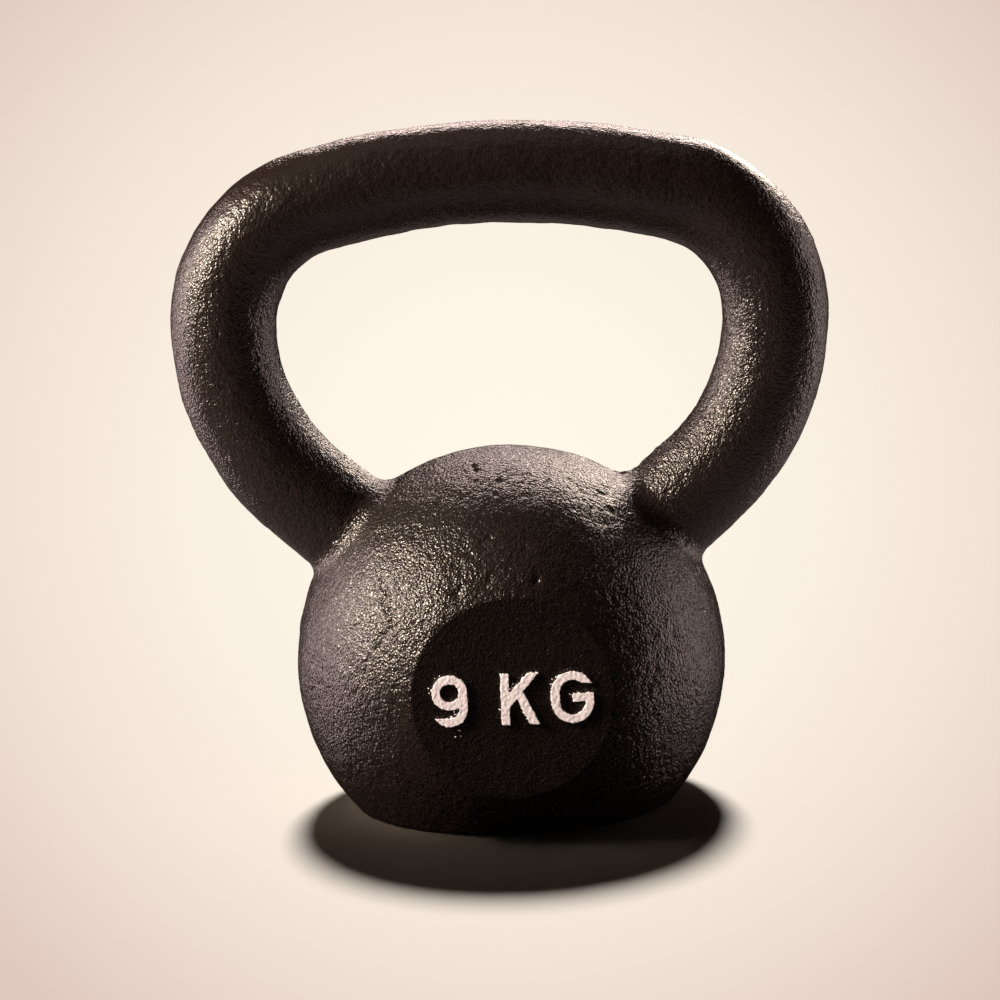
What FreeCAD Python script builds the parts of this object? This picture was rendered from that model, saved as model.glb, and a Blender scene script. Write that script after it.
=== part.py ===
import FreeCAD, Part
import math
import os

import Sketcher

# Kettlebell, in millimetres. +Z is up, X runs along the hand bar, the round pad faces -Y, and the
# origin is the centre of the flat base. The bell is a solid iron ball with a flat base and a flat
# pad. The handle is one bent bar, whose straight feet aim at the centre of the bell and sit in its
# two sockets. A concave weld runs round each foot. Three raised enamel characters on the pad give
# the weight.

SIZES = (
    ("bell_radius", 64.2, "radius of the round bell"),
    ("bell_level", 42.7, "height of the bell's centre above its base"),
    ("base_rounding", 3.0, "rounding of the rim of the base"),
    ("pad_reach", 57.1, "distance of the flat pad from the bell's upright axis"),
    ("crown_level", 189.1, "height of the bar's centreline at the middle of the crown"),
    ("crown_bend", 217.9, "bend radius of the crown's centreline"),
    ("shoulder_bend", 37.9, "bend radius of the shoulders' centreline"),
    ("side_bend", 66.2, "bend radius of the sides' centreline"),
    ("handle_span", 163.7, "width of the handle between its centrelines"),
    ("foot_slope", 41.6, "slope of the straight feet in degrees"),
    ("foot_end", 43.0, "distance of a foot's end from the bell's centre"),
    ("crown_bar", 15.1, "radius of the bar at the middle of the crown"),
    ("foot_bar", 15.9, "radius of the bar at its feet"),
    ("weld_leg", 5.5, "width that each weld covers on the bar and on the bell"),
    ("weld_hollow", 9.0, "radius of each weld's hollow face"),
    ("cap_height", 15.2, "height of the raised characters"),
    ("nine_width", 10.4, "width of the numeral"),
    ("kay_width", 11.2, "width of the letter K"),
    ("gee_width", 12.4, "width of the letter G"),
    ("stroke", 2.6, "width of the characters' strokes"),
    ("relief", 0.9, "thickness of the characters"),
    ("letter_gap", 3.2, "space between the two letters"),
    ("word_gap", 9.4, "space between the numeral and the letters"),
)
SIZE = {alias: value for alias, value, meaning in SIZES}

X_AXIS = FreeCAD.Vector(1, 0, 0)
Z_AXIS = FreeCAD.Vector(0, 0, 1)

# Formulas that several sub-parts share. A foot starts where its side arc ends.
SLOPE = "(Sizes.foot_slope * 1 deg)"
SIDE_CENTRE = "(Sizes.handle_span / 2 - Sizes.side_bend)"
FOOT_START = f"({SIDE_CENTRE} / cos({SLOPE}) + Sizes.side_bend * tan({SLOPE}))"

# Ends of a sketch's edge, as its constraints number them, and a sketch's own origin and axes.
START, END, CENTRE = 1, 2, 3
ORIGIN, LEVEL_AXIS, UPRIGHT_AXIS = -1, -1, -2


def fill_sheet(doc):
    """Writes the driving dimensions into a spreadsheet, each in a cell with an alias."""
    sheet = doc.addObject("Spreadsheet::Sheet", "Sizes")
    for row, (alias, value, meaning) in enumerate(SIZES, start=1):
        sheet.set(f"A{row}", meaning)
        sheet.set(f"B{row}", str(value))
        sheet.setAlias(f"B{row}", alias)
    doc.recompute()


def new_body(doc, name):
    body = doc.addObject("PartDesign::Body", name)
    body.Label = name
    return body


def origin_plane(body, role):
    return next(plane for plane in body.Origin.OriginFeatures if plane.Role == role)


def new_sketch(body, name, role="XZ_Plane"):
    """Makes a sketch on one of the body's own origin planes. On XZ, its x is +X and its y is +Z."""
    sketch = body.newObject("Sketcher::SketchObject", name)
    sketch.AttachmentSupport = [(origin_plane(body, role), "")]
    sketch.MapMode = "FlatFace"
    return sketch


def worth(sketch, formula):
    """The present value of a formula in the sheet's aliases, in mm."""
    return float(sketch.evalExpression(f"({formula}) * 1.0"))


def bind(sketch, name, kind, *where, formula):
    """Adds a named dimension to a sketch and binds it to a formula."""
    value = worth(sketch, formula)
    if kind == "Angle":
        value = math.radians(value)
    index = sketch.addConstraint(Sketcher.Constraint(kind, *where, value))
    sketch.renameConstraint(index, name)
    sketch.setExpression(f"Constraints.{name}", formula)


def place(sketch, name, edge, end, across, up):
    """Binds a point of a sketch to a place given by two formulas."""
    bind(sketch, f"{name}_across", "DistanceX", ORIGIN, START, edge, end, formula=across)
    bind(sketch, f"{name}_up", "DistanceY", ORIGIN, START, edge, end, formula=up)


def join(sketch, kind, *pairs):
    """Joins edges end to end: each pair is (edge, end, edge, end), kind Coincident or Tangent."""
    for pair in pairs:
        sketch.addConstraint(Sketcher.Constraint(kind, *pair))


def arc(centre, radius, first, last):
    """An arc in a sketch's plane, anticlockwise between two angles in degrees."""
    circle = Part.Circle(FreeCAD.Vector(*centre, 0), Z_AXIS, radius)
    return Part.ArcOfCircle(circle, math.radians(first), math.radians(last))


def line(first, last):
    return Part.LineSegment(FreeCAD.Vector(*first, 0), FreeCAD.Vector(*last, 0))


def draw_circle(sketch, name, across, up, radius):
    centre = FreeCAD.Vector(worth(sketch, across), worth(sketch, up), 0)
    edge = sketch.addGeometry(Part.Circle(centre, Z_AXIS, worth(sketch, radius)))
    place(sketch, name, edge, CENTRE, across, up)
    bind(sketch, f"{name}_radius", "Radius", edge, formula=radius)


def draw_quad(sketch, corners):
    """Draws a four-sided outline, whose corners are pairs of formulas in turn round it."""
    points = [[worth(sketch, formula) for formula in corner] for corner in corners]
    edges = [
        sketch.addGeometry(line(point, points[(index + 1) % 4]))
        for index, point in enumerate(points)
    ]
    for index, edge in enumerate(edges):
        join(sketch, "Coincident", (edge, END, edges[(index + 1) % 4], START))
        place(sketch, f"corner_{index}", edge, START, *corners[index])


def draw_slot(sketch, name, width, height, inset):
    """Draws an upright slot with round ends, set in from a width and a height that start at 0."""
    middle = f"{width} / 2"
    radius = f"{width} / 2 - {inset}"
    low = worth(sketch, middle)
    high = worth(sketch, height) - low
    size = worth(sketch, radius)
    top, bottom, left, right = sketch.addGeometry([
        arc((low, high), size, 0, 180),
        arc((low, low), size, 180, 360),
        line((low - size, high), (low - size, low)),
        line((low + size, low), (low + size, high)),
    ])
    join(sketch, "Tangent", (top, END, left, START), (left, END, bottom, START))
    join(sketch, "Tangent", (bottom, END, right, START), (right, END, top, START))
    sketch.addConstraint(Sketcher.Constraint("Equal", top, bottom))
    bind(sketch, f"{name}_radius", "Radius", top, formula=radius)
    place(sketch, f"{name}_top", top, CENTRE, middle, f"{height} - {middle}")
    place(sketch, f"{name}_bottom", bottom, CENTRE, middle, middle)


def extrude(body, name, sketch, length, kind="Pad", flip=False):
    feature = body.newObject(f"PartDesign::{kind}", name)
    feature.Profile = sketch
    feature.Reversed = flip
    feature.setExpression("Length", length)
    return feature


def revolve(body, name, sketch, axis):
    feature = body.newObject("PartDesign::Revolution", name)
    feature.Profile = sketch
    feature.ReferenceAxis = (sketch, [axis])
    feature.Angle = 360
    return feature


# The handle


def draw_bar_path(sketch):
    """Draws the centreline of half the handle: crown, shoulder and side.

    The arcs run into each other smoothly, and a guide line along the foot meets the bell's centre.
    """
    slope = math.radians(SIZE["foot_slope"])
    along = (math.cos(slope), math.sin(slope))
    crown = (0, SIZE["crown_level"] - SIZE["crown_bend"])
    across = worth(sketch, SIDE_CENTRE)
    rise = (SIZE["side_bend"] + across * along[1]) / along[0]
    side = (across, SIZE["bell_level"] + rise)

    # The shoulder's centre is its known distances away from the centres of the crown and the side.
    from_crown = SIZE["crown_bend"] - SIZE["shoulder_bend"]
    from_side = SIZE["side_bend"] - SIZE["shoulder_bend"]
    apart = math.dist(crown, side)
    lean = math.atan2(side[1] - crown[1], side[0] - crown[0])
    swing = math.acos((from_crown**2 + apart**2 - from_side**2) / (2 * from_crown * apart))
    crown_turn = lean - swing
    shoulder = (
        crown[0] + from_crown * math.cos(crown_turn),
        crown[1] + from_crown * math.sin(crown_turn),
    )
    side_turn = math.atan2(shoulder[1] - side[1], shoulder[0] - side[0])

    foot = [
        (distance * along[0], SIZE["bell_level"] + distance * along[1])
        for distance in (SIZE["foot_end"], worth(sketch, FOOT_START))
    ]
    crown_angle, side_angle = math.degrees(crown_turn), math.degrees(side_turn)
    crown_arc, shoulder_arc, side_arc, foot_line, bell_centre = sketch.addGeometry([
        arc(crown, SIZE["crown_bend"], crown_angle, 90),
        arc(shoulder, SIZE["shoulder_bend"], side_angle, crown_angle),
        arc(side, SIZE["side_bend"], SIZE["foot_slope"] - 90, side_angle),
        line(*foot),
        Part.Point(FreeCAD.Vector(0, SIZE["bell_level"], 0)),
    ])
    for guide in (foot_line, bell_centre):
        sketch.toggleConstruction(guide)
    join(sketch, "Tangent", (crown_arc, START, shoulder_arc, END))
    join(sketch, "Tangent", (shoulder_arc, START, side_arc, END))
    join(sketch, "Tangent", (side_arc, START, foot_line, END))
    for edge, end in ((crown_arc, CENTRE), (crown_arc, END), (bell_centre, START)):
        sketch.addConstraint(Sketcher.Constraint("PointOnObject", edge, end, UPRIGHT_AXIS))
    sketch.addConstraint(Sketcher.Constraint("PointOnObject", bell_centre, START, foot_line))
    bind(sketch, "crown_bend", "Radius", crown_arc, formula="Sizes.crown_bend")
    bind(sketch, "shoulder_bend", "Radius", shoulder_arc, formula="Sizes.shoulder_bend")
    bind(sketch, "side_bend", "Radius", side_arc, formula="Sizes.side_bend")
    bind(sketch, "crown_level", "DistanceY", ORIGIN, START, crown_arc, END,
         formula="Sizes.crown_level")
    bind(sketch, "bell_level", "DistanceY", ORIGIN, START, bell_centre, START,
         formula="Sizes.bell_level")
    bind(sketch, "side_centre", "DistanceX", ORIGIN, START, side_arc, CENTRE,
         formula=SIDE_CENTRE)
    bind(sketch, "foot_slope", "Angle", foot_line, formula="Sizes.foot_slope * 1 deg")
    bind(sketch, "foot_end", "Distance", bell_centre, START, foot_line, START,
         formula="Sizes.foot_end")


def make_handle(doc):
    """One round bar, bent in its own plane: a low crown, two shoulders, two sides, two feet."""
    body = new_body(doc, "handle")
    path = new_sketch(body, "bar_path")
    draw_bar_path(path)

    crown_section = new_sketch(body, "crown_section", "YZ_Plane")
    draw_circle(crown_section, "bar", "0", "Sizes.crown_level", "Sizes.crown_bar")
    foot_section = new_sketch(body, "foot_section", "YZ_Plane")
    foot_section.AttachmentOffset = FreeCAD.Placement(
        FreeCAD.Vector(), FreeCAD.Rotation(X_AXIS, 180 - SIZE["foot_slope"]))
    foot_section.setExpression(".AttachmentOffset.Rotation.Angle",
                               "180 deg - Sizes.foot_slope * 1 deg")
    foot_section.setExpression(".AttachmentOffset.Base.y",
                               f"Sizes.bell_level + {FOOT_START} * sin({SLOPE})")
    foot_section.setExpression(".AttachmentOffset.Base.z", f"{FOOT_START} * cos({SLOPE})")
    draw_circle(foot_section, "bar", "0", "0", "Sizes.foot_bar")
    doc.recompute()

    bend = body.newObject("PartDesign::AdditivePipe", "bent_bar")
    bend.Profile = crown_section
    bend.Spine = path
    bend.Sections = [foot_section]
    bend.Transformation = "Multisection"
    foot = extrude(body, "straight_foot", foot_section, f"{FOOT_START} - Sizes.foot_end")
    doc.recompute()
    mirror = body.newObject("PartDesign::Mirrored", "other_half")
    mirror.Originals = [bend, foot]
    mirror.MirrorPlane = (origin_plane(body, "YZ_Plane"), [""])
    body.Tip = mirror
    return body


# The bell


def draw_bell_outline(sketch):
    """Draws half the bell's upright section: base, ball and the axis that it turns about."""
    radius, level = SIZE["bell_radius"], SIZE["bell_level"]
    rim = math.sqrt(radius**2 - level**2)
    low = -math.degrees(math.asin(level / radius))
    ball, axis, base = sketch.addGeometry([
        arc((0, level), radius, low, 90),
        line((0, level + radius), (0, 0)),
        line((0, 0), (rim, 0)),
    ])
    join(sketch, "Coincident", (ball, END, axis, START), (axis, END, base, START))
    join(sketch, "Coincident", (base, END, ball, START), (axis, END, ORIGIN, START))
    sketch.addConstraint(Sketcher.Constraint("Horizontal", base))
    sketch.addConstraint(Sketcher.Constraint("Vertical", axis))
    sketch.addConstraint(Sketcher.Constraint("PointOnObject", ball, CENTRE, UPRIGHT_AXIS))
    bind(sketch, "bell_radius", "Radius", ball, formula="Sizes.bell_radius")
    bind(sketch, "bell_level", "DistanceY", ORIGIN, START, ball, CENTRE,
         formula="Sizes.bell_level")


def rim_of_base(shape):
    """Names the round edge at the lowest level of a shape."""
    for number, edge in enumerate(shape.Edges, start=1):
        if edge.BoundBox.ZMax < SIZE["base_rounding"] / 2 and edge.isClosed():
            return f"Edge{number}"
    raise RuntimeError("the bell has no rim at its base")


def make_bell(doc, handle):
    """The solid ball, cut flat below and in front, with the two sockets that the feet sit in."""
    body = new_body(doc, "bell_blank")
    outline = new_sketch(body, "bell_outline")
    draw_bell_outline(outline)
    ball = revolve(body, "ball", outline, "V_Axis")
    doc.recompute()
    rounding = body.newObject("PartDesign::Fillet", "base_rim")
    rounding.Base = (ball, [rim_of_base(ball.Shape)])
    rounding.setExpression("Radius", "Sizes.base_rounding")
    doc.recompute()

    pad = new_sketch(body, "pad_outline")
    pad.setExpression(".AttachmentOffset.Base.z", "Sizes.pad_reach")
    draw_circle(pad, "pad", "0", "Sizes.bell_level", "Sizes.bell_radius")
    extrude(body, "flat_pad", pad, "Sizes.bell_radius - Sizes.pad_reach + 1", "Pocket", flip=True)

    bell = doc.addObject("Part::Cut", "bell")
    bell.Label = "bell"
    bell.Base = body
    bell.Tool = handle
    return bell


# The welds


def draw_weld(sketch):
    """Draws a weld's section: x runs out from the bell's centre along the foot's own axis."""
    radius, bar = SIZE["bell_radius"], SIZE["foot_bar"]
    corner = math.asin(bar / radius)
    toe = corner + 2 * math.asin(SIZE["weld_leg"] / (2 * radius))
    on_bell = (radius * math.cos(toe), radius * math.sin(toe))
    on_bar = (radius * math.cos(corner) + SIZE["weld_leg"], bar)

    # The hollow face's centre stands off the middle of the line between its two toes.
    chord = math.dist(on_bell, on_bar)
    stand_off = math.sqrt(SIZE["weld_hollow"]**2 - (chord / 2)**2)
    across, up = (on_bar[0] - on_bell[0]) / chord, (on_bar[1] - on_bell[1]) / chord
    middle = ((on_bell[0] + on_bar[0]) / 2, (on_bell[1] + on_bar[1]) / 2)
    centre = (middle[0] - up * stand_off, middle[1] + across * stand_off)
    first, last = (
        math.degrees(math.atan2(end[1] - centre[1], end[0] - centre[0])) % 360
        for end in (on_bell, on_bar)
    )
    ball, bar_line, face = sketch.addGeometry([
        arc((0, 0), radius, math.degrees(corner), math.degrees(toe)),
        line((radius * math.cos(corner), bar), on_bar),
        arc(centre, SIZE["weld_hollow"], first, last),
    ])
    join(sketch, "Coincident", (ball, CENTRE, ORIGIN, START), (ball, START, bar_line, START))
    join(sketch, "Coincident", (ball, END, face, START), (face, END, bar_line, END))
    sketch.addConstraint(Sketcher.Constraint("Horizontal", bar_line))
    bind(sketch, "bell_radius", "Radius", ball, formula="Sizes.bell_radius")
    bind(sketch, "hollow", "Radius", face, formula="Sizes.weld_hollow")
    bind(sketch, "foot_bar", "DistanceY", ORIGIN, START, bar_line, START,
         formula="Sizes.foot_bar")
    bind(sketch, "leg_on_bar", "DistanceX", bar_line, START, bar_line, END,
         formula="Sizes.weld_leg")
    bind(sketch, "leg_on_bell", "Distance", ball, START, ball, END, formula="Sizes.weld_leg")


def make_weld(doc, name, turn):
    """A ring with a hollow face in the corner between a foot and the bell."""
    body = new_body(doc, name)
    section = new_sketch(body, f"{name}_section")
    section.AttachmentOffset = FreeCAD.Placement(
        FreeCAD.Vector(), FreeCAD.Rotation(Z_AXIS, worth(section, turn)))
    section.setExpression(".AttachmentOffset.Rotation.Angle", turn)
    section.setExpression(".AttachmentOffset.Base.y", "Sizes.bell_level")
    draw_weld(section)
    revolve(body, f"{name}_ring", section, "H_Axis")
    return body


# The weight mark


def sketch_on_pad(body, name, left):
    """A sketch on the pad's face, whose origin is the lower left corner of a character."""
    sketch = new_sketch(body, name)
    sketch.setExpression(".AttachmentOffset.Base.x", left)
    sketch.setExpression(".AttachmentOffset.Base.y", "Sizes.bell_level - Sizes.cap_height / 2")
    sketch.setExpression(".AttachmentOffset.Base.z", "Sizes.pad_reach")
    return sketch


def raise_slot_ring(body, width, left):
    """The round-ended ring that the numeral and the letter G are cut from."""
    ring = sketch_on_pad(body, f"{body.Name}_ring", left)
    draw_slot(ring, "outer", width, "Sizes.cap_height", "0")
    draw_slot(ring, "inner", width, "Sizes.cap_height", "Sizes.stroke")
    extrude(body, f"{body.Name}_rise", ring, "Sizes.relief")


def cut_quad(body, name, left, corners):
    sketch = sketch_on_pad(body, f"{name}_outline", left)
    draw_quad(sketch, corners)
    extrude(body, name, sketch, "Sizes.relief", "Pocket", flip=True)


def raise_quad(body, name, left, corners):
    sketch = sketch_on_pad(body, f"{name}_outline", left)
    draw_quad(sketch, corners)
    extrude(body, name, sketch, "Sizes.relief")


def rectangle(left, right, bottom, top):
    return ((left, bottom), (right, bottom), (right, top), (left, top))


def make_nine(doc, left):
    """A ring over a hook that starts at its right side."""
    body = new_body(doc, "mark_9")
    width, height, stroke = "Sizes.nine_width", "Sizes.cap_height", "Sizes.stroke"
    ring_centre = f"{height} - {width} / 2"
    raise_slot_ring(body, width, left)
    doc.recompute()
    cut_quad(body, "nine_gap", left, rectangle(f"-{stroke}", f"{width} / 2", stroke, ring_centre))
    bowl = sketch_on_pad(body, "nine_bowl_outline", left)
    draw_circle(bowl, "outer", f"{width} / 2", ring_centre, f"{width} / 2")
    draw_circle(bowl, "inner", f"{width} / 2", ring_centre, f"{width} / 2 - {stroke}")
    extrude(body, "nine_bowl", bowl, "Sizes.relief")
    return body


def make_kay(doc, left):
    """An upright, an arm that rises to the right, and a leg that falls from the arm's middle."""
    body = new_body(doc, "mark_K")
    width, height, stroke = "Sizes.kay_width", "Sizes.cap_height", "Sizes.stroke"
    slanted = f"1.3 * {stroke}"
    raise_quad(body, "kay_upright", left, rectangle("0", stroke, "0", height))
    raise_quad(body, "kay_arm", left, (
        (f"{stroke} / 2", f"{height} * 0.24"),
        (width, height),
        (f"{width} - {slanted}", height),
        (f"{stroke} / 2", f"{height} * 0.54"),
    ))
    raise_quad(body, "kay_leg", left, (
        (f"{width} - {slanted} * 0.9", "0"),
        (width, "0"),
        (f"{width} / 2 + {stroke} / 4", f"{height} * 0.68"),
        (f"{width} / 2 - {stroke} / 2", f"{height} * 0.54"),
    ))
    return body


def make_gee(doc, left):
    """A round-ended ring, open at its upper right, with a bar that runs in to its middle."""
    body = new_body(doc, "mark_G")
    width, height, stroke = "Sizes.gee_width", "Sizes.cap_height", "Sizes.stroke"
    bar_top = f"{width} / 2 + {stroke}"
    raise_slot_ring(body, width, left)
    doc.recompute()
    cut_quad(body, "gee_gap", left, rectangle(
        f"{width} / 2", f"{width} + {stroke}", bar_top, f"{height} - 1.4 * {stroke}"))
    raise_quad(body, "gee_bar", left, rectangle(
        f"{width} / 2", width, f"{width} / 2", bar_top))
    return body


def make_marks(doc):
    """The three characters in a row, centred on the pad."""
    gaps = "Sizes.word_gap + Sizes.letter_gap"
    row = f"(Sizes.nine_width + Sizes.kay_width + Sizes.gee_width + {gaps})"
    nine_left = f"-{row} / 2"
    kay_left = f"Sizes.nine_width + Sizes.word_gap - {row} / 2"
    gee_left = f"{row} / 2 - Sizes.gee_width"
    return make_nine(doc, nine_left), make_kay(doc, kay_left), make_gee(doc, gee_left)


def check(doc, nodes):
    """Stops if an object failed to recompute, or a sub-part is not one sound solid."""
    for item in doc.Objects:
        if {"Invalid", "Error"} & set(item.State):
            raise RuntimeError(f"{item.Name} failed: {item.State}")
    for node in nodes:
        shape = node.Shape
        if shape.isNull() or not shape.isValid() or len(shape.Solids) != 1:
            raise RuntimeError(f"{node.Label} is not one sound solid")
        box = shape.optimalBoundingBox()
        print(f"{node.Label:18} {shape.Volume / 1000:9.3f} cm3  X {box.XMin:.2f} {box.XMax:.2f}"
              f"  Y {box.YMin:.2f} {box.YMax:.2f}  Z {box.ZMin:.2f} {box.ZMax:.2f}")


def main():
    doc = FreeCAD.newDocument("kettlebell")
    fill_sheet(doc)
    handle = make_handle(doc)
    doc.recompute()
    nodes = [
        make_bell(doc, handle),
        handle,
        make_weld(doc, "right_root_weld", "Sizes.foot_slope * 1 deg"),
        make_weld(doc, "left_root_weld", "180 deg - Sizes.foot_slope * 1 deg"),
        *make_marks(doc),
    ]
    doc.recompute()
    check(doc, nodes)
    os.makedirs("parts", exist_ok=True)
    for node in nodes:
        node.Shape.exportStep(f"parts/{node.Label}.step")


main()
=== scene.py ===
import math

import bmesh
import bpy
import numpy as np
from mathutils import Matrix, Vector
from mathutils.bvhtree import BVHTree


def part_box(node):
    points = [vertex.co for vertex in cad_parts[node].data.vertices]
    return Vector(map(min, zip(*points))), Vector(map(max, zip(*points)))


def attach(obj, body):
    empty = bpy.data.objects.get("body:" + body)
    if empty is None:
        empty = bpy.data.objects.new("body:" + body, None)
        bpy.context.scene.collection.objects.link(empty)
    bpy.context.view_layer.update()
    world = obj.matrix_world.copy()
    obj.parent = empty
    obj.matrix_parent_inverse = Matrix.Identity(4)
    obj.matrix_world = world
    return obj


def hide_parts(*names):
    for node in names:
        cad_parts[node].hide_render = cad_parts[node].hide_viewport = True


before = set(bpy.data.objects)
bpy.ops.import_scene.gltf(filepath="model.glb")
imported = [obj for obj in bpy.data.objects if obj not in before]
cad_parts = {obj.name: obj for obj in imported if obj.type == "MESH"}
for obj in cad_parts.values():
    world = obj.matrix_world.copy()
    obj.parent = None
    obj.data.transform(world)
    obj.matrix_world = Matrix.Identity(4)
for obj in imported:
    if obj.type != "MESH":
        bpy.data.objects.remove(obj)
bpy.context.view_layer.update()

# The looks of a coated iron kettlebell. The iron pieces get dense skins with the casting's real
# relief: swells, orange peel, pits and a parting line. One relief field covers them all, so the
# skins run on into each other. Lengths are in millimetres until a mesh is made.

MM = 0.001


def corners(node):
    """A node's lowest and highest corners, in mm."""
    return [np.array(corner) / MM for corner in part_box(node)]


# The design's driving dimensions. The frame gives those that a box can give.
BELL_LOW, BELL_HIGH = corners("bell")
HANDLE_HIGH = corners("handle")[1]
BELL_RADIUS = (BELL_HIGH[0] - BELL_LOW[0]) / 2
BELL_LEVEL = BELL_HIGH[2] - BELL_RADIUS
PAD_REACH = -BELL_LOW[1]
FOOT_BAR = HANDLE_HIGH[1]
CROWN_BAR = 15.1
CROWN_LEVEL = HANDLE_HIGH[2] - CROWN_BAR
CROWN_BEND = 217.9
SHOULDER_BEND = 37.9
SIDE_BEND = 66.2
HANDLE_SPAN = 163.7
FOOT_SLOPE = math.radians(41.6)

BELL_CENTRE = np.array([0, 0, BELL_LEVEL])
PAD_RADIUS = math.sqrt(BELL_RADIUS**2 - PAD_REACH**2)
FOOT_AXIS = np.array([math.cos(FOOT_SLOPE), 0, math.sin(FOOT_SLOPE)])

# The skins' own dimensions: where a foot's skin ends, from the bell's centre, the radius of a
# root's hollow under its foot and inside it, and the pitch of the meshes.
FOOT_END = 44.0
TIGHT_HOLLOW = 5.0
FULL_HOLLOW = 8.0
SKIN_PITCH = 0.74
BAR_PITCH = 0.65


# The relief that the casting and its coat share

# The seeds of the random fields and of the pocks.
SWELL_SEED, RIPPLE_SEED, PATCH_SEED, PEEL_SEED, PIT_SEED, POCK_SEED, LINE_SEED, BEAD_SEED = range(1, 9)

# How deep or high each kind of relief is, how wide it is at the parting line, and the length of
# its features.
SWELL_DEPTH, SWELL_LENGTH = 0.11, 28
RIPPLE_DEPTH, RIPPLE_LENGTH = 0.045, 9
PEEL_DEPTH, PEEL_LENGTH = 0.06, 3.0
PIT_DEPTH, PIT_LENGTH = 0.32, 4.2
PATCH_LENGTH = 20
LINE_HEIGHT, LINE_WIDTH, LINE_LENGTH = 0.20, 0.55, 11
BEAD_HEIGHT, BEAD_WIDTH, BEAD_LENGTH = 0.32, 1.6, 2.6

# Where the parting line is beaded, and the heights between which hands have smoothed the handle
# more and more.
BEADED, BEADED_REACH = np.array([33, 0, 97]), 19
SMOOTHED = (150, 188)


def waves(points, length, seed, spread=0.3):
    """A smooth random field with features of one length, spread about 0 with a deviation of 1."""
    count = 40
    draw = np.random.default_rng(seed)
    heading = draw.normal(size=(count, 3))
    heading /= np.linalg.norm(heading, axis=1)[:, None]
    number = 2 * math.pi / length * draw.uniform(1 - spread, 1 + spread, count)
    phase = draw.uniform(0, 2 * math.pi, count)
    turns = points @ (heading * number[:, None]).T + phase
    return np.cos(turns).sum(axis=1) * math.sqrt(2 / count)


def ease(value, low, high):
    """Rises smoothly from 0 at low to 1 at high."""
    part = np.clip((value - low) / (high - low), 0, 1)
    return part * part * (3 - 2 * part)


def on_bell(across, up):
    """A place on the front of the bell, by its offsets from the bell's centre."""
    depth = math.sqrt(max(0, BELL_RADIUS**2 - across**2 - up**2))
    return np.array([across, -depth, BELL_LEVEL + up])


def near(points, place, reach):
    """1 at a place, fading to 0 past its reach."""
    return np.exp(-((points - place) ** 2).sum(axis=1) / reach**2)


# Where the casting is pocked: offsets across and up from the bell's centre, and the reach. Each
# place has its own few pits.
PITS_EACH = 5
POCKED = ((-35, 27, 1.6), (-34, 22, 1.6), (-37, 17, 1.8), (-14, 30, 1.6), (-36, 31, 0.8),
          (56, 27, 1.8), (57, 20, 2.0), (58, 13, 1.8), (58, 4, 1.8), (52, 35, 1.6),
          (35, 53, 2.0), (38, 50, 1.6), (-9, 60.5, 1.2), (8, 34, 1.0), (-6, 45, 1.0))


def pocks(points):
    """Small deep pits, in clusters."""
    draw = np.random.default_rng(POCK_SEED)
    total = np.zeros(len(points))
    for across, up, reach in POCKED:
        close = np.linalg.norm(points - on_bell(across, up), axis=1) < 3 * reach + 3
        for _ in range(PITS_EACH):
            place = on_bell(across + draw.normal(0, 0.5 * reach), up + draw.normal(0, reach))
            depth, size = draw.uniform(0.35, 0.85), draw.uniform(0.6, 1.1)
            total[close] = np.minimum(total[close], -depth * near(points[close], place, size))
    return total


def parting_line(points):
    """The thin flash where the mould's halves met, and the beads along a stretch of it."""
    line = np.exp(-(points[:, 1] / LINE_WIDTH) ** 2)
    flash = LINE_HEIGHT * line * np.clip(0.7 + 0.6 * waves(points, LINE_LENGTH, LINE_SEED), 0, 1.5)
    beaded = np.exp(-(points[:, 1] / BEAD_WIDTH) ** 2) * near(points, BEADED, BEADED_REACH)
    beads = BEAD_HEIGHT * beaded * np.clip(waves(points, BEAD_LENGTH, BEAD_SEED), 0, 1.3)
    return flash, beads


def relief(points):
    """How far the skin stands off the smooth design, in mm. The pad and the grip are smoother."""
    smooth_grip = 1 - 0.55 * ease(points[:, 2], *SMOOTHED)
    pad = ease(-points[:, 1], PAD_REACH - 0.5, PAD_REACH - 0.1)
    grain = smooth_grip * (1 - 0.75 * pad)
    swell = SWELL_DEPTH * waves(points, SWELL_LENGTH, SWELL_SEED)
    swell = swell + RIPPLE_DEPTH * waves(points, RIPPLE_LENGTH, RIPPLE_SEED)
    patchy = 0.75 + 0.2 * waves(points, PATCH_LENGTH, PATCH_SEED)
    peel = np.tanh(1.2 * waves(points, PEEL_LENGTH, PEEL_SEED, spread=0.5)) * PEEL_DEPTH * patchy
    pits = -PIT_DEPTH * np.clip(waves(points, PIT_LENGTH, PIT_SEED) - 2.0, 0, 0.9)
    flash, beads = parting_line(points)
    return swell * (1 - 0.6 * pad) + grain * (peel + pits) + pocks(points) + flash + beads


# Meshes


def make_piece(name, points, faces):
    """Makes a smooth-shaded mesh object from points in mm."""
    mesh = bpy.data.meshes.new(name)
    mesh.from_pydata((np.asarray(points) * MM).tolist(), [], faces)
    mesh.validate()
    mesh.update()
    mesh.shade_smooth()
    piece = bpy.data.objects.new(name, mesh)
    bpy.context.collection.objects.link(piece)
    return piece


def read_points(mesh):
    """A mesh's points, in mm."""
    flat = np.empty(len(mesh.vertices) * 3)
    mesh.vertices.foreach_get("co", flat)
    return flat.reshape(-1, 3) / MM


def read_normals(mesh):
    """The normals at a mesh's points."""
    flat = np.empty(len(mesh.vertices) * 3, dtype=np.float32)
    mesh.vertex_normals.foreach_get("vector", flat)
    return flat.reshape(-1, 3).astype(float)


def write_points(mesh, points):
    """Moves a mesh's points to these places in mm."""
    mesh.vertices.foreach_set("co", (points * MM).ravel())
    mesh.update()


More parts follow.
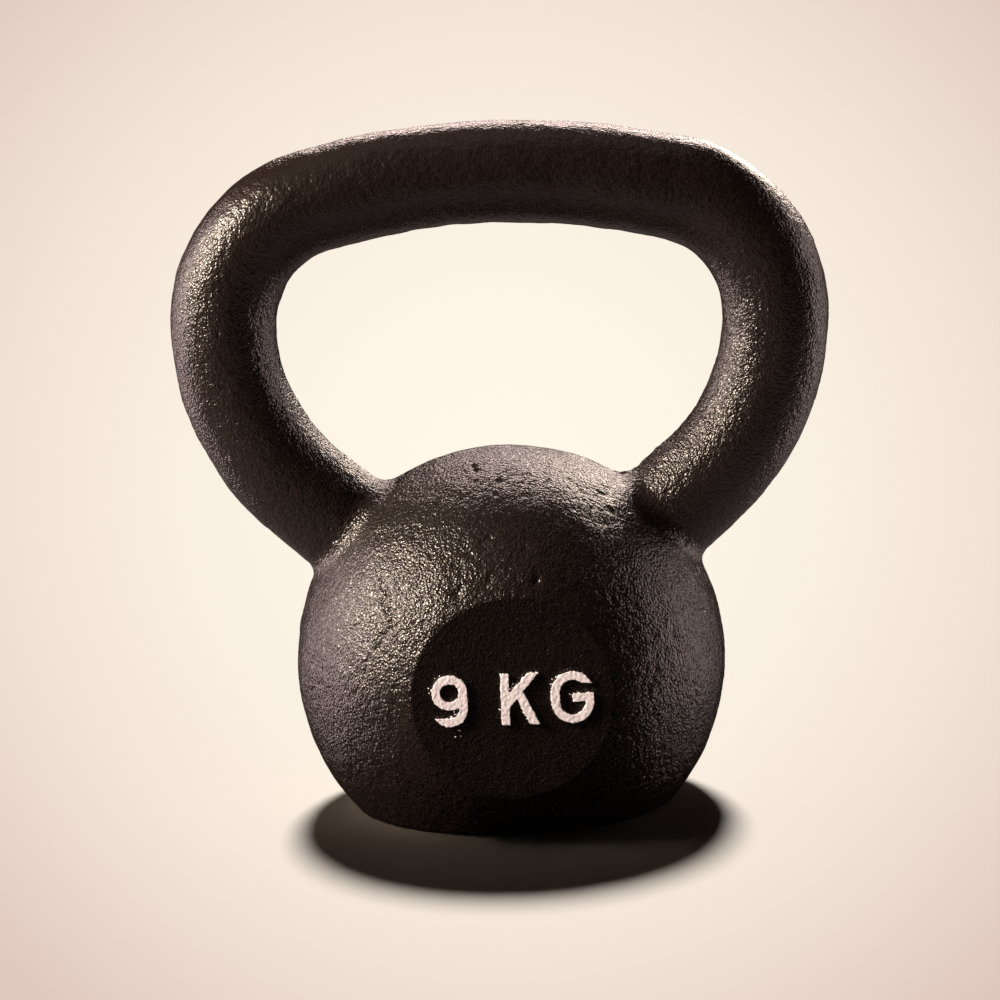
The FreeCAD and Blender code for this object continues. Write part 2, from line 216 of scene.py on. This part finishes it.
def face_outward(piece):
    """Winds a closed mesh's faces so that their normals point out."""
    mesh = bmesh.new()
    mesh.from_mesh(piece.data)
    bmesh.ops.recalc_face_normals(mesh, faces=mesh.faces)
    mesh.to_mesh(piece.data)
    mesh.free()
    piece.data.update()


def add_relief(piece):
    """Pushes every point of a skin along its outward normal, but never below the base."""
    face_outward(piece)
    points = read_points(piece.data)
    points = points + read_normals(piece.data) * relief(points)[:, None]
    points[:, 2] = np.maximum(points[:, 2], 0)
    write_points(piece.data, points)


def stitch(first, first_count, second, second_count):
    """Triangles between two rings of points that run the same way round."""
    faces = []
    i = j = 0
    while i < first_count or j < second_count:
        a, b = first + i % first_count, second + j % second_count
        behind = (i + 1) * second_count <= (j + 1) * first_count
        if j == second_count or (i < first_count and behind):
            faces.append((a, first + (i + 1) % first_count, b))
            i += 1
        else:
            faces.append((a, second + (j + 1) % second_count, b))
            j += 1
    return faces


def bell_profile():
    """Radius and depth of the rings about the pad's axis, from the pad's middle to the back."""
    flat_rings = round(PAD_RADIUS / SKIN_PITCH)
    start = math.acos(PAD_REACH / BELL_RADIUS)
    round_rings = round(BELL_RADIUS * (math.pi - start) / SKIN_PITCH)
    flat = [(PAD_RADIUS * k / flat_rings, -PAD_REACH) for k in range(flat_rings)]
    turns = [start + (math.pi - start) * k / round_rings for k in range(round_rings + 1)]
    return flat + [(BELL_RADIUS * math.sin(turn), -BELL_RADIUS * math.cos(turn)) for turn in turns]


def flatten_base(points):
    """Brings what lies below the base up to it, with a small rounding at the rim."""
    rounding = 0.8
    reach = points - BELL_CENTRE
    length = np.linalg.norm(reach, axis=1)
    heading = reach / length[:, None]
    to_base = BELL_LEVEL / np.maximum(-heading[:, 2], 0.05)
    share = np.clip(0.5 + 0.5 * (to_base - length) / rounding, 0, 1)
    length = to_base * (1 - share) + length * share - rounding * share * (1 - share)
    return BELL_CENTRE + heading * length[:, None]


def make_bell_skin():
    """The ball and its pad, in rings about the pad's axis."""
    points, rings = [], []
    for radius, depth in bell_profile():
        count = max(1, round(2 * math.pi * radius / SKIN_PITCH))
        rings.append((len(points), count))
        for k in range(count):
            turn = 2 * math.pi * k / count
            points.append((radius * math.cos(turn), depth, BELL_LEVEL + radius * math.sin(turn)))
    faces = []
    for (first, first_count), (second, second_count) in zip(rings, rings[1:]):
        faces += stitch(first, first_count, second, second_count)
    faces = [face for face in faces if len(set(face)) == 3]
    piece = make_piece("bell_skin", flatten_base(np.array(points)), faces)
    add_relief(piece)
    return piece


def handle_arcs():
    """The arcs of half the handle: (centre x, centre z, bend radius, first and last angle)."""
    crown = np.array([0, CROWN_LEVEL - CROWN_BEND])
    across = HANDLE_SPAN / 2 - SIDE_BEND
    rise = (SIDE_BEND + across * math.sin(FOOT_SLOPE)) / math.cos(FOOT_SLOPE)
    side = np.array([across, BELL_LEVEL + rise])
    from_crown = CROWN_BEND - SHOULDER_BEND
    from_side = SIDE_BEND - SHOULDER_BEND
    apart = math.dist(crown, side)
    lean = math.atan2(side[1] - crown[1], side[0] - crown[0])
    swing = math.acos((from_crown**2 + apart**2 - from_side**2) / (2 * from_crown * apart))
    crown_turn = lean - swing
    shoulder = crown + from_crown * np.array([math.cos(crown_turn), math.sin(crown_turn)])
    side_turn = math.atan2(shoulder[1] - side[1], shoulder[0] - side[0])
    return (
        (*crown, CROWN_BEND, math.pi / 2, crown_turn),
        (*shoulder, SHOULDER_BEND, crown_turn, side_turn),
        (*side, SIDE_BEND, side_turn, FOOT_SLOPE - math.pi / 2),
    )


def handle_line(along):
    """Centreline point, outward direction and bar radius at distances from the crown's middle."""
    side = np.where(along < 0, -1.0, 1.0)
    along = np.abs(along)
    place = np.zeros((len(along), 2))
    outward = np.zeros((len(along), 2))
    start = 0.0
    for x, z, bend, first, last in handle_arcs():
        length = bend * (first - last)
        here = along >= start
        turn = first - (along[here] - start) / bend
        outward[here] = np.stack([np.cos(turn), np.sin(turn)], axis=1)
        place[here] = np.array([x, z]) + bend * outward[here]
        start += length
    foot = along > start
    last_turn = FOOT_SLOPE - math.pi / 2
    outward[foot] = (math.cos(last_turn), math.sin(last_turn))
    side_centre = np.array([x, z])
    edge = side_centre + SIDE_BEND * np.array([math.cos(last_turn), math.sin(last_turn)])
    place[foot] = edge - (along[foot] - start)[:, None] * FOOT_AXIS[[0, 2]]
    radius = CROWN_BAR + (FOOT_BAR - CROWN_BAR) * np.clip(along / start, 0, 1)
    place[:, 0] *= side
    outward[:, 0] *= side
    return place, outward, radius


def bent_length():
    """Distance along the bar from the crown's middle to where a foot becomes straight."""
    return sum(bend * (first - last) for _, _, bend, first, last in handle_arcs())


def foot_start():
    """Distance from the bell's centre at which a foot's side bend ends."""
    across = HANDLE_SPAN / 2 - SIDE_BEND
    return across / math.cos(FOOT_SLOPE) + SIDE_BEND * math.tan(FOOT_SLOPE)


def grid_faces(rows, columns):
    """Quads between rows of a grid that is closed across its columns."""
    return [
        (row * columns + column, row * columns + (column + 1) % columns,
         (row + 1) * columns + (column + 1) % columns, (row + 1) * columns + column)
        for row in range(rows - 1) for column in range(columns)
    ]


def make_handle_skin():
    """The whole bar, foot to foot, with its hidden ends closed."""
    reach = bent_length() + foot_start() - FOOT_END
    rows = round(2 * reach / BAR_PITCH)
    columns = round(2 * math.pi * FOOT_BAR / BAR_PITCH)
    along = np.linspace(-reach, reach, rows)
    place, outward, radius = handle_line(along)
    turn = 2 * math.pi * np.arange(columns) / columns
    out = radius[:, None] * np.cos(turn)
    x = place[:, :1] + outward[:, :1] * out
    z = place[:, 1:] + outward[:, 1:] * out
    y = radius[:, None] * np.sin(turn)
    points = np.stack([x, y, z], axis=2).reshape(-1, 3)
    ends = np.stack([place[[0, -1], 0], np.zeros(2), place[[0, -1], 1]], axis=1)
    points = np.vstack([points, ends])
    last = (rows - 1) * columns
    faces = grid_faces(rows, columns)
    faces += [((k + 1) % columns, k, rows * columns) for k in range(columns)]
    faces += [(last + k, last + (k + 1) % columns, rows * columns + 1) for k in range(columns)]
    piece = make_piece("handle_skin", points, faces)
    add_relief(piece)
    return piece


# The rows of points across a root's hollow, how its skin dives past each end, as (run, depth),
# and how deep its hidden part lies.
HOLLOW_ROWS = 16
TUCK = ((0.8, 0.012), (1.6, 0.04), (2.4, 0.08), (3.0, 0.15), (3.4, 0.4), (3.8, 0.8))
HIDDEN_DEPTH = 1.6


def root_section(hollow):
    """Closed section of a root's ring for one hollow radius, as (distance out, radius) pairs.

    The hollow is tangent to the bar and to the bell. Past each end the skin runs on into the iron
    beside it, at first so gently that no edge shows.
    """
    out = FOOT_BAR + hollow
    along = math.sqrt((BELL_RADIUS + hollow) ** 2 - out**2)
    start = math.pi + math.atan2(out, along)
    turns = np.linspace(start, 1.5 * math.pi, HOLLOW_ROWS)
    face = [(along + hollow * math.cos(turn), out + hollow * math.sin(turn)) for turn in turns]
    toe = math.atan2(face[0][1], face[0][0])
    corner = math.asin(FOOT_BAR / BELL_RADIUS)
    on_bar = [(along + run, FOOT_BAR - depth) for run, depth in TUCK]
    on_bar.append((along, FOOT_BAR - HIDDEN_DEPTH))
    in_bell = [(BELL_RADIUS - HIDDEN_DEPTH, turn) for turn in (corner, toe)]
    in_bell += [(BELL_RADIUS - depth, toe + run / BELL_RADIUS) for run, depth in reversed(TUCK)]
    sunk = [(reach * math.cos(turn), reach * math.sin(turn)) for reach, turn in in_bell]
    return face + on_bar + sunk


def settle(ring, rows, skin):
    """Lays rows of a ring's points on another skin, or to their tuck's depth below it."""
    depths = [0.0] + [depth for _, depth in TUCK]
    for row, depth in zip(rows, depths):
        for points in ring:
            place, normal, _, _ = skin.find_nearest(Vector(points[row]))
            points[row] = place - normal * depth


def tree_of(piece):
    """A piece's surface, in mm, ready to be asked for its nearest place."""
    faces = [tuple(face.vertices) for face in piece.data.polygons]
    return BVHTree.FromPolygons(read_points(piece.data).tolist(), faces)


def root_points(side, columns):
    """A root's sections around its foot, as points, and the number of rows in a section.

    The hollow is tight under the foot, on the outside, and full on the inside.
    """
    axis = FOOT_AXIS * (side, 1, 1)
    outward = np.array([side * math.sin(FOOT_SLOPE), 0, -math.cos(FOOT_SLOPE)])
    depth = np.array([0, 1, 0])
    points = []
    for turn in 2 * math.pi * np.arange(columns) / columns:
        fullness = 0.5 - 0.5 * math.cos(turn)
        spoke = outward * math.cos(turn) + depth * math.sin(turn)
        section = root_section(TIGHT_HOLLOW + (FULL_HOLLOW - TIGHT_HOLLOW) * fullness)
        points += [BELL_CENTRE + axis * along + spoke * radius for along, radius in section]
    return points, len(section)


def make_root_skin(name, side, bell_tree, handle_tree):
    """The hollow ring in the corner between a foot and the bell, side 1 right and -1 left."""
    columns = round(2 * math.pi * (FOOT_BAR + 3) / BAR_PITCH)
    points, rows = root_points(side, columns)
    faces = [
        (column * rows + k, column * rows + (k + 1) % rows,
         (column + 1) % columns * rows + (k + 1) % rows, (column + 1) % columns * rows + k)
        for column in range(columns) for k in range(rows)
    ]
    piece = make_piece(name, points, faces)
    add_relief(piece)
    ring = read_points(piece.data).reshape(columns, rows, 3)
    settle(ring, range(HOLLOW_ROWS - 1, rows), handle_tree)
    settle(ring, [0, *range(rows - 1, 0, -1)], bell_tree)
    write_points(piece.data, ring.reshape(-1, 3))
    return piece


# The mark's characters, the size of their even mesh, how much of their edge is worn away, and how
# far behind the pad's face their backs lie.
SIGNS = ("9", "K", "G")
MARK_VOXEL = 0.14
EDGE_WORN = 0.18
BACK_SUNK = 0.4
EDGE_SEED, EDGE_SWELL_SEED = 21, 22

# Which way the flecks lie off the characters, how many by each, how many strays, and where those
# are from the first character's lowest corner.
FLECK_SEED, FLECK_SHAPE_SEED = 31, 32
UPPER_LEFT = np.array([-0.8, 0, 0.6])
FLECKS_EACH = 12
STRAYS = 5
STRAY_OFF = np.array([7.0, 0, -1.8])


def remeshed(node, name):
    """A piece with a fine even mesh, in the shape of a CAD node."""
    piece = bpy.data.objects.new(name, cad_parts[node].data.copy())
    bpy.context.collection.objects.link(piece)
    piece.data.materials.clear()
    remesh = piece.modifiers.new("even", "REMESH")
    remesh.mode = "VOXEL"
    remesh.voxel_size = MARK_VOXEL * MM
    even = piece.modifiers.new("soften", "SMOOTH")
    even.iterations = 4
    shaped = piece.evaluated_get(bpy.context.evaluated_depsgraph_get())
    mesh = bpy.data.meshes.new_from_object(shaped)
    piece.modifiers.clear()
    piece.data = mesh
    mesh.name = name
    mesh.shade_smooth()
    return piece


def make_mark(node, name):
    """A raised enamel character with a worn, uneven edge, its back set into the pad."""
    piece = remeshed(node, name)
    points = read_points(piece.data)
    edge = 0.10 * waves(points, 1.1, EDGE_SEED) + 0.07 * waves(points, 3.0, EDGE_SWELL_SEED) - EDGE_WORN
    points = points + read_normals(piece.data) * (1, 0.25, 1) * edge[:, None]
    back = points[:, 1] > -PAD_REACH - 0.1
    points[back, 1] = -PAD_REACH + BACK_SUNK
    write_points(piece.data, points)
    return piece


def unit_ball():
    """Points and triangles of a ball of radius 1."""
    ball = bmesh.new()
    bmesh.ops.create_icosphere(ball, subdivisions=2, radius=1)
    points = np.array([tuple(vertex.co) for vertex in ball.verts])
    faces = np.array([[vertex.index for vertex in face.verts] for face in ball.faces])
    ball.free()
    return points, faces


def fleck_places(marks, draw):
    """Places off the upper left edges of the characters, and of the strays."""
    places = []
    for mark in marks:
        points, normals = read_points(mark.data), read_normals(mark.data)
        facing = np.flatnonzero(normals @ UPPER_LEFT > 0.75)
        for index in draw.choice(facing, FLECKS_EACH):
            off = draw.uniform(0.2, 1.1)
            places.append(points[index] + off * UPPER_LEFT + draw.normal(0, 0.15, 3))
    stray = corners("mark_9")[0] + STRAY_OFF
    return places + [stray + draw.normal(0, 0.7, 3) for _ in range(STRAYS)]


def make_flecks(marks):
    """Lumpy specks of enamel that lie on the pad beside the characters."""
    draw = np.random.default_rng(FLECK_SEED)
    unit, unit_faces = unit_ball()
    points, faces = [], []
    for place in fleck_places(marks, draw):
        size = draw.uniform(0.10, 0.26)
        shape = unit * size * draw.uniform(0.6, 1.3, 3)
        lumpy = 1 + 0.25 * waves(shape / size, 1.5, FLECK_SHAPE_SEED)[:, None]
        place[1] = -PAD_REACH - 0.02
        faces.append(unit_faces + len(points) * len(unit))
        points.append(shape * lumpy + place)
    return make_piece("enamel_flecks", np.vstack(points), np.vstack(faces).tolist())


# Materials

# Where the bell is scratched, by its offsets across and up, the patch's inner and outer radius,
# how the scratches turn, how far they are drawn out, and their depth.
SCORED = (29, 50)
SCORED_REACH = (6, 13)
SCORE_TURNS = (0.35, 1.45)
SCORE_STRETCH = (14, 5, 1)
SCORE_DEPTH = 0.80

# Stretches of a pattern's values: the middle of a noise, and a cell from its middle to its edge.
NOISE_MIDDLE = (0.35, 0.65)
CELL = (0.25, 0.75)

# The coat's roughness from a wrinkle's middle to its edge, its coarse relief, and the share of
# the wrinkles left on the crown.
SATIN = (0.23, 0.34)
COARSE_SIZE, COARSE_DEPTH = 2.2, 0.35
CROWN_WRINKLE = 0.45

# The floor's painted pool of light, in metres: the floor's colour is painted brightest around the
# object, and darker and rosier away from it, as shade. It opens from POOL_START in front of the object,
# and reaches POOL_WIDTH of the distance from there to each side. Its depth goes by the distance's
# reciprocal, so that it looks round from the front. No distance counts as less than POOL_NEAREST.
POOL_START = 1.1
POOL_NEAREST = 0.35
POOL_WIDTH = 0.135
POOL_DEPTH = 2.03
POOL_MIDDLE = 1.24


class Nodes:
    """A material's node tree, with short calls to add and link nodes."""

    def __init__(self, name):
        self.material = bpy.data.materials.new(name)
        self.material.use_nodes = True
        self.tree = self.material.node_tree
        self.shader = self.tree.nodes["Principled BSDF"]
        self.place = self.add("ShaderNodeTexCoord").outputs["Object"]

    def add(self, kind, links=(), **values):
        """Adds a node. links are (socket, output or value) pairs, and values its properties."""
        node = self.tree.nodes.new(kind)
        for key, value in values.items():
            setattr(node, key, value)
        for socket, value in links:
            self.feed(node.inputs[socket], value)
        return node

    def feed(self, socket, value):
        """Links a socket to another node's output, or sets it to a plain value."""
        if isinstance(value, bpy.types.NodeSocket):
            self.tree.links.new(value, socket)
        else:
            socket.default_value = value

    def set(self, **values):
        """Feeds the shader's sockets, by their names with _ for a space."""
        for name, value in values.items():
            self.feed(self.shader.inputs[name.replace("_", " ")], value)

    def noise(self, size, detail, rough=0.5, place=None, output="Fac"):
        """A noise with features of about a size in mm. Output Color is three unlike noises."""
        node = self.add("ShaderNodeTexNoise", (
            ("Vector", self.place if place is None else place), ("Scale", 1 / (size * MM)),
            ("Detail", detail), ("Roughness", rough)))
        return node.outputs[output]

    def spread(self, value, low, high, to_low=0.0, to_high=1.0):
        """Maps a stretch of a pattern's values onto another."""
        node = self.add("ShaderNodeMapRange", (
            ("Value", value), ("From Min", low), ("From Max", high),
            ("To Min", to_low), ("To Max", to_high)))
        return node.outputs["Result"]

    def mix(self, share, first, second):
        """The first colour, with a share of the second. A Mix node's colours are sockets 6 and 7."""
        node = self.add("ShaderNodeMix", ((0, share), (6, first), (7, second)), data_type="RGBA")
        return node.outputs[2]

    def combine(self, operation, first, second):
        """One number from two, by a Math node's operation."""
        node = self.add("ShaderNodeMath", ((0, first), (1, second)), operation=operation)
        return node.outputs["Value"]

    def scaled(self, vector, factor):
        """A vector times a number."""
        node = self.add("ShaderNodeVectorMath", ((0, vector), ("Scale", factor)),
                        operation="SCALE")
        return node.outputs["Vector"]

    def moved(self, place, shift):
        """A place moved by a vector."""
        node = self.add("ShaderNodeVectorMath", ((0, place), (1, shift)), operation="ADD")
        return node.outputs["Vector"]

    def cells(self, place, size):
        """Rounded cells of a size in mm: 0 at their middles, and more towards their edges."""
        node = self.add("ShaderNodeTexVoronoi", (
            ("Vector", place), ("Scale", 1 / (size * MM))))
        return node.outputs["Distance"]

    def height(self):
        """How high a place is, in metres."""
        node = self.add("ShaderNodeSeparateXYZ", (("Vector", self.place),))
        return node.outputs["Z"]

    def scores(self):
        """Fine crossing scratches, only on the scored patch of the bell."""
        marks = None
        for turn in SCORE_TURNS:
            turned = self.add("ShaderNodeMapping", (
                ("Vector", self.place), ("Rotation", (0, turn, 0)), ("Scale", SCORE_STRETCH)),
                vector_type="TEXTURE")
            lines = self.noise(0.8, detail=1, place=turned.outputs["Vector"])
            crisp = self.spread(lines, 0.58, 0.64)
            marks = crisp if marks is None else self.combine("MAXIMUM", marks, crisp)
        off = self.add("ShaderNodeVectorMath", (
            (0, self.place), (1, tuple(on_bell(*SCORED) * MM))), operation="DISTANCE")
        inner, outer = SCORED_REACH
        patch = self.spread(off.outputs["Value"], inner * MM, outer * MM, -1.0, 0.0)
        return self.combine("MULTIPLY", marks, patch)

    def bump(self, height, depth, below=None, strength=1.0):
        """Roughens the surface by a pattern, with a depth in mm."""
        node = self.add("ShaderNodeBump", (
            ("Height", height), ("Distance", depth * MM), ("Strength", strength)))
        if below is not None:
            self.feed(node.inputs["Normal"], below)
        return node.outputs["Normal"]


def colour(red, green, blue):
    """An opaque colour."""
    return (red, green, blue, 1.0)


def make_coat(name, cell, depth, colours):
    """Black baked coat: warm black, satin, wrinkled into cells of a size and depth in mm. Its colour is
    painted darker in the wrinkles' valleys, as shade, and lighter on their tops.

    The wrinkles are shallow on the crown, where hands have smoothed them.
    """
    coat = Nodes(name)
    warp = coat.scaled(coat.noise(cell * 1.3, detail=1, output="Color"), 0.9 * cell * MM)
    cells = coat.cells(coat.moved(coat.place, warp), cell)
    coarse = coat.noise(COARSE_SIZE, detail=2)
    broad = coat.noise(18, detail=3)
    dark, warm, raised = colours
    tint = coat.mix(coat.spread(broad, *NOISE_MIDDLE), dark, warm)
    # The wrinkles' tops take the lighter raised colour, and their valleys the darker tint: painted
    # shade in the valleys.
    base = coat.mix(coat.spread(cells, *CELL, 1.0, 0.0), tint, raised)
    satin = coat.spread(cells, *CELL, *SATIN)
    lower, upper = (level * MM for level in SMOOTHED)
    worn = coat.spread(coat.height(), lower, upper, 1.0, CROWN_WRINKLE)
    normal = coat.bump(cells, -depth, coat.bump(coarse, COARSE_DEPTH), strength=worn)
    scored = coat.bump(coat.scores(), SCORE_DEPTH, normal)
    coat.set(Base_Color=base, Roughness=satin, Normal=scored)
    return coat.material


def make_enamel():
    """Thick white enamel, brushed on, faintly pink and grey where it is thin."""
    enamel = Nodes("white_enamel")
    cloudy = enamel.noise(2.2, detail=4, rough=0.6)
    thin = enamel.noise(0.8, detail=3, rough=0.7)
    pinkish, white, grey = colour(0.97, 0.86, 0.90), colour(1.0, 0.96, 0.98), colour(0.55, 0.44, 0.42)
    body = enamel.mix(enamel.spread(cloudy, *NOISE_MIDDLE), pinkish, white)
    worn = enamel.mix(enamel.spread(thin, 0.66, 0.78), body, grey)
    normal = enamel.bump(thin, 0.015)
    enamel.set(Base_Color=worn, Roughness=0.5, Normal=normal)
    return enamel.material


def make_floor_with_painted_pool():
    """Warm white paper with a painted pool of light: brightest around the object, and painted darker
    and rosier away from it, as shade.
    """
    floor = Nodes("pale_floor")
    parts = floor.add("ShaderNodeSeparateXYZ", (("Vector", floor.place),))
    ahead = floor.combine("ADD", parts.outputs["Y"], POOL_START)
    away = floor.combine("MAXIMUM", ahead, POOL_NEAREST)
    wide = floor.combine("DIVIDE", parts.outputs["X"], floor.combine("MULTIPLY", away, POOL_WIDTH))
    deep = floor.combine("SUBTRACT", floor.combine("DIVIDE", POOL_DEPTH, away), POOL_MIDDLE)
    squares = [floor.combine("POWER", floor.combine("ABSOLUTE", part, 0), 2) for part in (wide, deep)]
    fall = floor.combine("ADD", *squares)
    # The painted light of the pool's middle, and the painted shade far from it.
    pool_painted_light, painted_falloff_shade = colour(0.92, 0.862, 0.748), colour(0.665, 0.510, 0.455)
    painted_pool_tone = floor.mix(floor.spread(fall, 0.0, 2.0), pool_painted_light, painted_falloff_shade)
    floor.set(Base_Color=painted_pool_tone, Roughness=0.9)
    return floor.material


# Camera, floor and lights

# What the lights on the object aim at, in metres.
AIM = Vector((0, 0, 0.11))

# The lights on the object: (name, heading from the aim, distance, size, power, tint). The keys
# are at the left, and the others are behind, at the sides and above.
OBJECT_LIGHTS = (
    ("key", (-0.88, -0.25, 0.48), 1.2, (0.28, 0.28), 28, (1.0, 0.83, 0.67)),
    ("key_low", (-0.96, -0.12, 0.26), 1.2, (0.28, 0.28), 4, (1.0, 0.83, 0.70)),
    ("right_rim", (0.42, 0.82, 0.42), 1.2, (0.5, 0.4), 8, (1.0, 0.82, 0.70)),
    ("top_rim", (0.02, 0.84, 0.55), 1.2, (0.6, 0.3), 5.5, (1.0, 0.78, 0.72)),
    ("left_edge", (-0.89, 0.45, 0.08), 1.2, (0.35, 1.2), 10, (1.0, 0.78, 0.76)),
    ("right_fill", (0.90, 0.40, 0.00), 1.2, (0.6, 1.2), 6, (1.0, 0.76, 0.70)),
    ("overhead", (0, 0.1, 1), 2.0, (1.6, 1.6), 2.5, (1.0, 0.76, 0.68)),
)

# The pale floor's own glow, for the handle and the roots, and a front light for the enamel.
GRIP_LIGHTS = (("floor_glow", (0, 0, -1), 0.108, (1.2, 0.8), 0.7, (1.0, 0.78, 0.72)),)
MARK_LIGHTS = (("mark_light", (-0.3, -1, 0.4), 1.2, (0.3, 0.3), 2.0, (1.0, 0.88, 0.90)),)

# The sun on the floor: its width as an angle, how far behind the vertical it stands, and its
# strength.
SUN_ANGLE = math.radians(11)
SUN_TILT = math.radians(40)
SUN_STRENGTH = 4.35

# The studio's faint light from all round, and how far the floor reaches each way, in metres.
ROOM_LIGHT = 0.004
FLOOR_REACH = 40.0

# How far behind the pad's face its own coat ends, in mm. That coat is painted darker, as shade.
PAD_COAT_EDGE = 0.3


def make_camera():
    """The camera is straight in front, 9.5 degrees up, and leans 2 degrees."""
    raised, lean = math.radians(9.5), math.radians(2.0)
    distance = 1.107
    target = Vector((-0.0017, 0, 0.0909))
    back = Vector((0, -math.cos(raised), math.sin(raised)))
    right = Vector((1, 0, 0))
    up = back.cross(right)
    leaned_right = right * math.cos(lean) - up * math.sin(lean)
    leaned_up = right * math.sin(lean) + up * math.cos(lean)
    data = bpy.data.cameras.new("camera")
    data.lens = 133.2
    data.sensor_width = 36
    camera = bpy.data.objects.new("camera", data)
    turn = Matrix((leaned_right, leaned_up, back)).transposed()
    camera.matrix_world = Matrix.Translation(target + back * distance) @ turn.to_4x4()
    bpy.context.collection.objects.link(camera)
    bpy.context.scene.camera = camera


def make_floor():
    """The pale floor. It is kept out of reflections, because the photo's iron shows none of it."""
    mesh = bpy.data.meshes.new("floor")
    corner_signs = ((-1, -1), (1, -1), (1, 1), (-1, 1))
    points = [(x * FLOOR_REACH, y * FLOOR_REACH, 0) for x, y in corner_signs]
    mesh.from_pydata(points, [], [(0, 1, 2, 3)])
    floor = bpy.data.objects.new("floor", mesh)
    bpy.context.collection.objects.link(floor)
    mesh.materials.append(make_floor_with_painted_pool())
    floor.visible_glossy = False
    return floor


def make_light(name, heading, distance, size, power, tint):
    """A rectangular soft light, in a direction from what the lights aim at."""
    data = bpy.data.lights.new(name, "AREA")
    data.shape = "RECTANGLE"
    data.size, data.size_y = size
    data.energy = power
    data.color = tint
    light = bpy.data.objects.new(name, data)
    heading = Vector(heading).normalized()
    light.location = AIM + heading * distance
    light.rotation_euler = heading.to_track_quat("Z", "Y").to_euler()
    bpy.context.collection.objects.link(light)
    return light


def collect(name, pieces):
    """A collection of pieces, for light linking."""
    group = bpy.data.collections.new(name)
    for piece in pieces:
        group.objects.link(piece)
    return group


def light_floor(floor, bell):
    """A sun from above and behind, for the floor and the bell's shadow on it."""
    data = bpy.data.lights.new("floor_light", "SUN")
    data.angle = SUN_ANGLE
    data.energy = SUN_STRENGTH
    data.color = (1.0, 0.985, 0.97)
    light = bpy.data.objects.new("floor_light", data)
    light.rotation_euler = (-SUN_TILT, 0, 0)
    light.light_linking.receiver_collection = collect("lit_floor", [floor])
    light.light_linking.blocker_collection = collect("shades_floor", [bell])
    bpy.context.collection.objects.link(light)


def light_only(name, pieces, lights):
    """Makes lights that fall on these pieces and on nothing else."""
    group = collect(name, pieces)
    for light in lights:
        make_light(*light).light_linking.receiver_collection = group


def make_world():
    """The studio's faint warm light from all round."""
    world = bpy.data.worlds.new("studio")
    bpy.context.scene.world = world
    world.use_nodes = True
    background = world.node_tree.nodes["Background"]
    background.inputs["Color"].default_value = colour(1.0, 0.86, 0.78)
    background.inputs["Strength"].default_value = ROOM_LIGHT


def dress(piece, material, slot, *nodes):
    """Gives a piece its material, puts it on the root body, and hides the CAD nodes that it stands for.
    """
    piece.data.materials.clear()
    piece.data.materials.append(material)
    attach(piece, "root")
    if nodes:
        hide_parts(*nodes)


def coat_pad(bell, material):
    """Gives the bell's flat pad its own coat, finer and painted darker as shade, as a second material.
    """
    bell.data.materials.append(material)
    for face in bell.data.polygons:
        if face.center.y < (PAD_COAT_EDGE - PAD_REACH) * MM:
            face.material_index = 1


make_camera()
make_world()
floor = make_floor()

# The third colour, for the wrinkles' tops, is the lightest; the darker valleys are painted shade.
coat = make_coat("textured_coat", cell=0.78, depth=0.22, colours=(
    colour(0.0068, 0.0038, 0.0033), colour(0.0098, 0.0058, 0.0050), colour(0.019, 0.012, 0.010)))
# The pad's coat has finer wrinkles and darker colours: painted shade, where the pad faces away from the
# lights.
pad_coat_painted_shade = make_coat("pad_coat_painted_shade", cell=0.66, depth=0.23, colours=(
    colour(0.0060, 0.0034, 0.0029), colour(0.0080, 0.0046, 0.0038), colour(0.014, 0.009, 0.007)))
enamel = make_enamel()

bell = make_bell_skin()
handle = make_handle_skin()
trees = tree_of(bell), tree_of(handle)
right_root = make_root_skin("right_root_skin", 1, *trees)
left_root = make_root_skin("left_root_skin", -1, *trees)
marks = [make_mark(f"mark_{sign}", f"enamel_{sign}") for sign in SIGNS]
flecks = make_flecks(marks)

dress(bell, coat, "coated_iron", "bell")
dress(handle, coat, "coated_iron", "handle")
dress(right_root, coat, "coated_iron", "right_root_weld")
dress(left_root, coat, "coated_iron", "left_root_weld")
for sign, mark in zip(SIGNS, marks):
    dress(mark, enamel, "white_enamel", f"mark_{sign}")
dress(flecks, enamel, "white_enamel")
coat_pad(bell, pad_coat_painted_shade)

grip = [handle, right_root, left_root]
painted = [*marks, flecks]
light_floor(floor, bell)
light_only("lit_object", [bell, *grip, *painted], OBJECT_LIGHTS)
light_only("lit_from_floor", grip, GRIP_LIGHTS)
light_only("lit_marks", painted, MARK_LIGHTS)

bpy.context.scene.view_settings.view_transform = "Standard"
